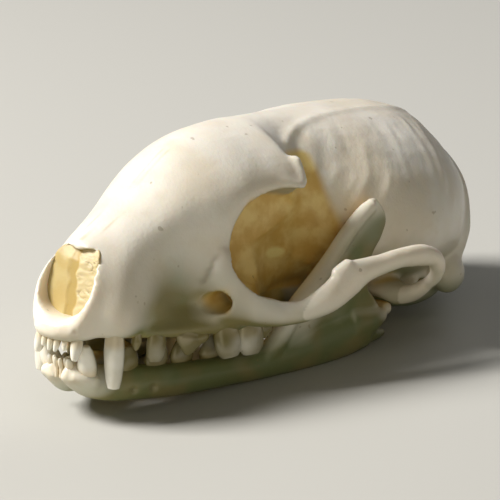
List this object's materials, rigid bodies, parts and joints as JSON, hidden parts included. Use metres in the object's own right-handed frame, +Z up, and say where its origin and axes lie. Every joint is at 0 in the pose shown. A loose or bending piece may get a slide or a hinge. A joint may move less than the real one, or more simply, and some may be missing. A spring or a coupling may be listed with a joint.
{
  "type": "marten skull",
  "caption": "Life-size skull of a young pine marten with closed jaws, open orbits and thin cheek arches, resting on the lower border of its jaw.",
  "frame": {"origin": "on the ground in the middle of the skull's box, under the braincase's front end", "axes": "+Y from the front teeth to the back of the head, +X to the animal's left, +Z up"},
  "size_m": [0.049, 0.078, 0.0326],
  "materials": {
    "cranium_bone": "dry bleached bone, ivory, low sheen, with small glossy ivory teeth",
    "arch_bone": "dry bleached bone, ivory, low sheen",
    "bulla_bone": "thin blown bone, pale tan, low sheen",
    "jaw_bone": "dry bleached bone, ivory, low sheen, with small glossy ivory teeth"
  },
  "bodies": {
    "root": {"cranium": "cranium_bone", "zygomatic_arch_left": "arch_bone", "zygomatic_arch_right": "arch_bone", "bulla_left": "bulla_bone", "bulla_right": "bulla_bone", "mandible_left": "jaw_bone", "mandible_right": "jaw_bone"}
  },
  "joints": []
}
